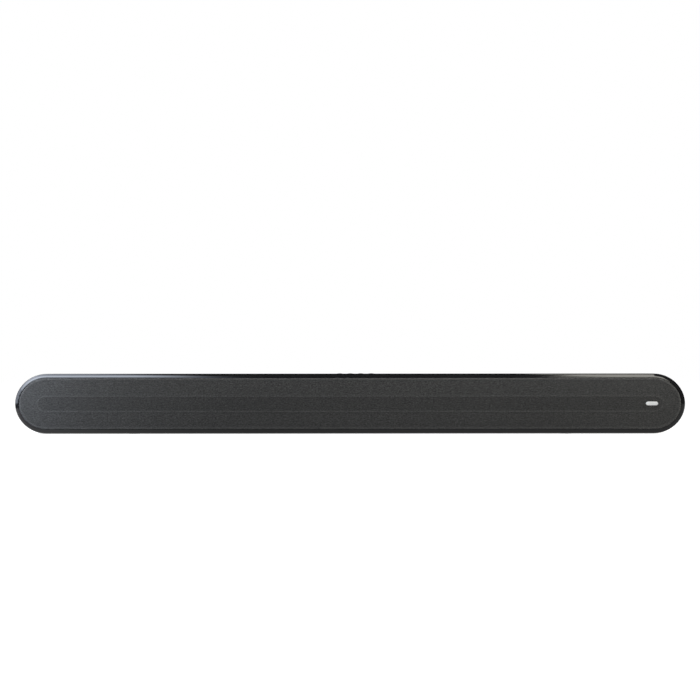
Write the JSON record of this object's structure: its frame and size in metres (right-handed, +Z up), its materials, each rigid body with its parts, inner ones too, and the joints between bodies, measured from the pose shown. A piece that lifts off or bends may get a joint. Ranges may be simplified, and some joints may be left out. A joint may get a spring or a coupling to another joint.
{
  "type": "soundbar",
  "caption": "Compact pill-shaped soundbar: gloss black housing, grey cloth grille, push buttons on top, socket bay and wall keyholes at the back.",
  "frame": {"origin": "on the surface the bar stands on, under the middle of its length and depth", "axes": "+X to the right as seen from the front, +Z up, the front faces -Y"},
  "size_m": [0.8, 0.1, 0.0728],
  "materials": {
    "gloss_housing": "high gloss black",
    "cover_plastic": "fine matt texture",
    "grille_fabric": "stretched fine weave",
    "frame_plastic": "moulded",
    "badge_metal": "satin",
    "foot_rubber": "matt",
    "button_plastic": "gloss black",
    "switch_plastic": "moulded",
    "plunger_plastic": "moulded",
    "circuit_board": "solder mask",
    "chip_plastic": "moulded epoxy",
    "heat_sink_aluminium": "extruded",
    "capacitor_sleeve": "shrink sleeve",
    "indicator_lens": "clear",
    "receiver_lens": "dark red",
    "black_screw": "black oxide",
    "bright_screw": "zinc plated",
    "socket_plastic": "moulded",
    "socket_metal": "plated",
    "cable_jacket": "PVC",
    "basket_steel": "black paint",
    "gasket_foam": "closed-cell foam",
    "surround_rubber": "butyl",
    "cone_paper": "pressed pulp",
    "coil_copper": "copper winding",
    "spider_cloth": "resin-stiffened cloth",
    "pole_steel": "zinc plated",
    "ferrite": "ground ferrite"
  },
  "bodies": {
    "enclosure": {"housing_shell": "gloss_housing", "rear_cover": "cover_plastic", "grille_cloth": "grille_fabric", "grille_frame": "frame_plastic", "front_baffle": "frame_plastic", "badge": "badge_metal", "foot_left": "foot_rubber", "foot_right": "foot_rubber", "tact_switches": "switch_plastic", "control_board": "circuit_board", "main_board": "circuit_board", "power_board": "circuit_board", "indicator_board": "circuit_board", "main_board_chips": "chip_plastic", "power_transformer": "chip_plastic", "heat_sink": "heat_sink_aluminium", "power_capacitors": "capacitor_sleeve", "status_leds": "indicator_lens", "ir_receiver": "receiver_lens", "rear_cover_screws": "black_screw", "driver_screws": "black_screw", "baffle_screws": "black_screw", "board_screws": "bright_screw", "ac_inlet": "socket_plastic", "optical_socket": "socket_plastic", "aux_jack": "socket_plastic", "video_socket": "socket_metal", "service_socket": "socket_metal", "left_speaker_cable": "cable_jacket", "right_speaker_cable": "cable_jacket", "left_basket": "basket_steel", "right_basket": "basket_steel", "left_gasket": "gasket_foam", "right_gasket": "gasket_foam", "left_surround": "surround_rubber", "right_surround": "surround_rubber", "left_spider": "spider_cloth", "right_spider": "spider_cloth", "left_top_plate": "pole_steel", "right_top_plate": "pole_steel", "left_yoke": "pole_steel", "right_yoke": "pole_steel", "left_magnet": "ferrite", "right_magnet": "ferrite"},
    "button_power": {"button_power": "button_plastic", "plunger_power": "plunger_plastic"},
    "button_source": {"button_source": "button_plastic", "plunger_source": "plunger_plastic"},
    "button_volume_down": {"button_volume_down": "button_plastic", "plunger_volume_down": "plunger_plastic"},
    "button_volume_up": {"button_volume_up": "button_plastic", "plunger_volume_up": "plunger_plastic"},
    "left_cone_assembly": {"left_cone": "cone_paper", "left_dust_cap": "cone_paper", "left_voice_coil": "coil_copper"},
    "right_cone_assembly": {"right_cone": "cone_paper", "right_dust_cap": "cone_paper", "right_voice_coil": "coil_copper"},
    "optical_shutter": {"optical_shutter": "socket_plastic"}
  },
  "joints": [
    {"name": "power_press", "type": "slide", "parent": "enclosure", "child": "button_power", "axis": [0, 0, -1], "range_m": [0, 0.0005], "stiffness_N_per_m": 800},
    {"name": "source_press", "type": "slide", "parent": "enclosure", "child": "button_source", "axis": [0, 0, -1], "range_m": [0, 0.0005], "stiffness_N_per_m": 800},
    {"name": "volume_down_press", "type": "slide", "parent": "enclosure", "child": "button_volume_down", "axis": [0, 0, -1], "range_m": [0, 0.0005], "stiffness_N_per_m": 800},
    {"name": "volume_up_press", "type": "slide", "parent": "enclosure", "child": "button_volume_up", "axis": [0, 0, -1], "range_m": [0, 0.0005], "stiffness_N_per_m": 800},
    {"name": "left_cone_travel", "type": "slide", "parent": "enclosure", "child": "left_cone_assembly", "axis": [0, 1, 0], "range_m": [-0.002, 0.002], "stiffness_N_per_m": 1200, "deforming": ["left_surround", "left_spider"]},
    {"name": "right_cone_travel", "type": "slide", "parent": "enclosure", "child": "right_cone_assembly", "axis": [0, 1, 0], "range_m": [-0.002, 0.002], "stiffness_N_per_m": 1200, "deforming": ["right_surround", "right_spider"]},
    {"name": "shutter_hinge", "type": "hinge", "parent": "enclosure", "child": "optical_shutter", "pos_m": [-0.01, 0.0255, 0.0333], "axis": [-1, 0, 0], "range_deg": [0, 85], "stiffness_Nm_per_rad": 0.0002}
  ]
}
